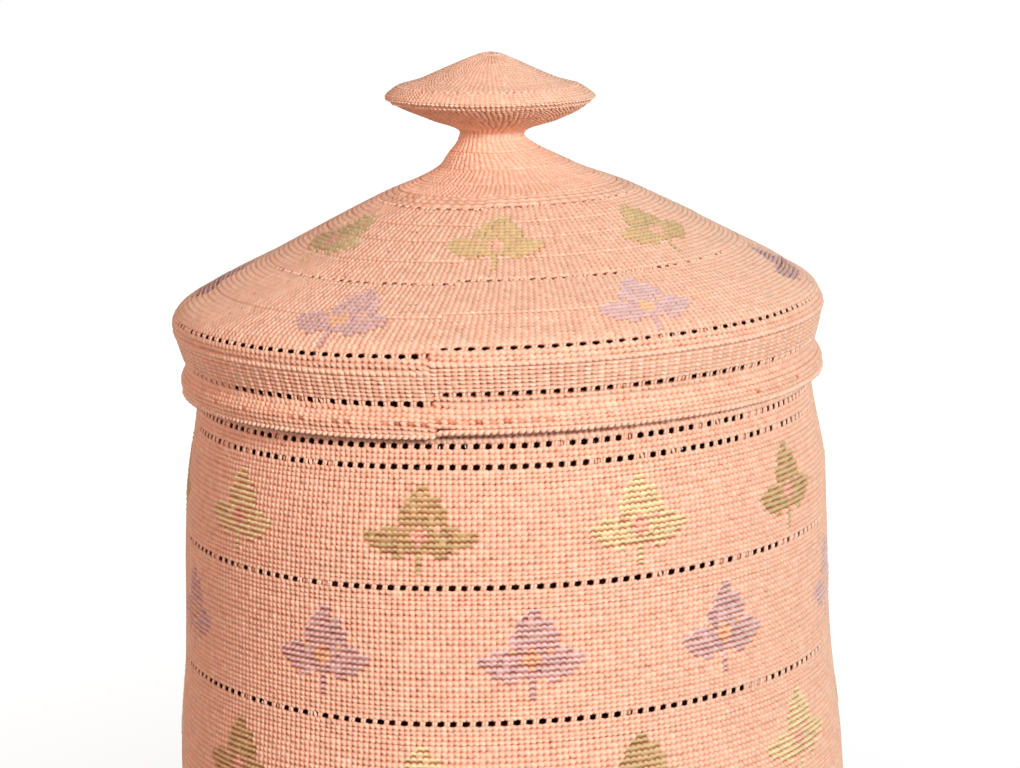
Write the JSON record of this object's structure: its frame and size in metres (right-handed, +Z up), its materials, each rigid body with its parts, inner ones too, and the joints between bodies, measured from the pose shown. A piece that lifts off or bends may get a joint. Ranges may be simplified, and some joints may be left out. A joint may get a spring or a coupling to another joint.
{
  "type": "lidded twined basket",
  "caption": "Round drum-shaped basket of fine twined grass with openwork rows and a domed lid that lifts off by a flat conical knob.",
  "frame": {"origin": "middle of the flat underside of the base, on the basket's upright axis", "axes": "+Z up along the basket's axis and the way the lid lifts; -Y faces the viewer of the picture"},
  "size_m": [0.1488, 0.1488, 0.1893],
  "materials": {
    "twined_grass": "dry twined grass, salmon",
    "braided_grass": "dry braided grass, salmon",
    "dyed_grass": "dyed grass embroidery in olive, yellow-green, mauve, pink and orange"
  },
  "bodies": {
    "basket": {"base_disc": "twined_grass", "base_turn": "twined_grass", "openwork_row_five": "twined_grass", "wall_band_four": "twined_grass", "openwork_row_four": "twined_grass", "wall_band_three": "twined_grass", "openwork_row_three": "twined_grass", "wall_band_two": "twined_grass", "openwork_row_two": "twined_grass", "wall_band_one": "twined_grass", "openwork_row_one": "twined_grass", "neck_band": "twined_grass", "openwork_row_nought": "twined_grass", "rim_band": "twined_grass", "rim_braid": "braided_grass"},
    "lid": {"lid_edge_braid": "braided_grass", "lid_skirt_lower": "twined_grass", "lid_waist": "twined_grass", "openwork_row_skirt": "twined_grass", "lid_skirt_upper": "twined_grass", "lid_ridge_cord": "braided_grass", "lid_shoulder": "twined_grass", "openwork_row_brim": "twined_grass", "crown_band_lower": "twined_grass", "openwork_row_crown": "twined_grass", "crown_band_upper": "twined_grass", "openwork_row_peak": "twined_grass", "crown_peak": "twined_grass", "knob_neck": "twined_grass", "knob_underside": "twined_grass", "knob_edge": "braided_grass", "knob_top": "twined_grass"}
  },
  "joints": [
    {"name": "lid_lift", "type": "slide", "parent": "basket", "child": "lid", "axis": [0, 0, 1], "range_m": [0, 0.08]}
  ]
}
